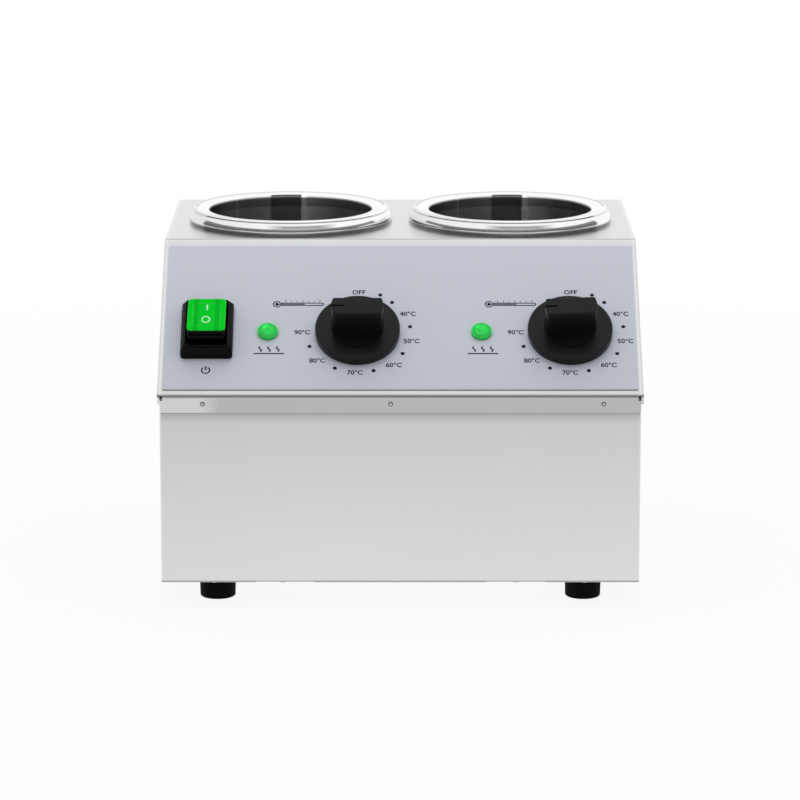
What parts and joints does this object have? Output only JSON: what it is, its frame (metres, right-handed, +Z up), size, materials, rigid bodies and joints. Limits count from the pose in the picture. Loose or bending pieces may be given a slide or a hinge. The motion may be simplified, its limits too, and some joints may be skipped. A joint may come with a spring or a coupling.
{
  "type": "sauce warmer",
  "caption": "Countertop sauce bottle warmer with two heated round wells, a sloping control panel with temperature dials, indicator lamps and a rocker switch.",
  "frame": {"origin": "middle of the footprint, on the surface that the feet stand on", "axes": "+Z up, front control panel towards -Y, +X to the right seen from the front"},
  "size_m": [0.303, 0.2864, 0.2284],
  "materials": {
    "brushed_steel": "brushed, fine horizontal grain",
    "well_steel": "brushed upright, drawn cup",
    "polished_steel": "polished",
    "fastener_steel": "plated",
    "overlay_film": "satin printed film",
    "knob_plastic": "satin moulded",
    "switch_plastic": "moulded",
    "green_lens": "tinted clear, lit",
    "foot_rubber": "matt",
    "seal_rubber": "matt",
    "gland_plastic": "moulded",
    "insulation_wool": "fibrous",
    "heater_sheath": "dull",
    "block_ceramic": "glazed",
    "wire_sleeve": "silicone sleeve",
    "inner_plastic": "moulded",
    "copper_tube": "drawn",
    "brass_fittings": "turned"
  },
  "bodies": {
    "warmer": {"base_plate": "brushed_steel", "base_screws": "fastener_steel", "control_overlay": "overlay_film", "earth_nuts": "brass_fittings", "earth_stud": "brass_fittings", "foot_screws": "fastener_steel", "front_left_foot": "foot_rubber", "front_right_foot": "foot_rubber", "gland_body": "gland_plastic", "gland_locknut": "gland_plastic", "gland_nut": "gland_plastic", "gland_seal": "seal_rubber", "hood_rivets": "fastener_steel", "hood_shell": "brushed_steel", "lamp_nuts": "brass_fittings", "left_band_heater": "heater_sheath", "left_bulb_clip": "fastener_steel", "left_capillary": "copper_tube", "left_heater_strap": "fastener_steel", "left_insulation": "insulation_wool", "left_lamp_body": "inner_plastic", "left_lamp_lens": "green_lens", "left_limiter": "inner_plastic", "left_sensing_bulb": "copper_tube", "left_thermostat": "inner_plastic", "left_well_cup": "well_steel", "left_well_gasket": "seal_rubber", "left_well_ring": "polished_steel", "lower_housing": "brushed_steel", "rear_left_foot": "foot_rubber", "rear_right_foot": "foot_rubber", "right_band_heater": "heater_sheath", "right_bulb_clip": "fastener_steel", "right_capillary": "copper_tube", "right_heater_strap": "fastener_steel", "right_insulation": "insulation_wool", "right_lamp_body": "inner_plastic", "right_lamp_lens": "green_lens", "right_limiter": "inner_plastic", "right_sensing_bulb": "copper_tube", "right_thermostat": "inner_plastic", "right_well_cup": "well_steel", "right_well_gasket": "seal_rubber", "right_well_ring": "polished_steel", "strap_screws": "fastener_steel", "switch_body": "switch_plastic", "switch_frame": "switch_plastic", "terminal_block": "block_ceramic", "thermostat_screws": "fastener_steel", "well_nuts": "fastener_steel", "wiring": "wire_sleeve"},
    "left_dial": {"left_dial_shaft": "fastener_steel", "left_dial_knob": "knob_plastic"},
    "right_dial": {"right_dial_shaft": "fastener_steel", "right_dial_knob": "knob_plastic"},
    "power_rocker": {"rocker_carrier": "switch_plastic", "rocker_cap": "green_lens", "rocker_pin": "fastener_steel"}
  },
  "joints": [
    {"name": "left_dial_turn", "type": "hinge", "parent": "warmer", "child": "left_dial", "pos_m": [-0.0269, -0.103, 0.16807], "axis": [0, -0.6225, 0.7827], "range_deg": [0, 270]},
    {"name": "right_dial_turn", "type": "hinge", "parent": "warmer", "child": "right_dial", "pos_m": [0.1068, -0.103, 0.16807], "axis": [0, -0.6225, 0.7827], "range_deg": [-3, 267]},
    {"name": "power_rocker_tilt", "type": "hinge", "parent": "warmer", "child": "power_rocker", "pos_m": [-0.1215, -0.10627, 0.17314], "axis": [1, 0, 0], "range_deg": [0, 18]}
  ]
}
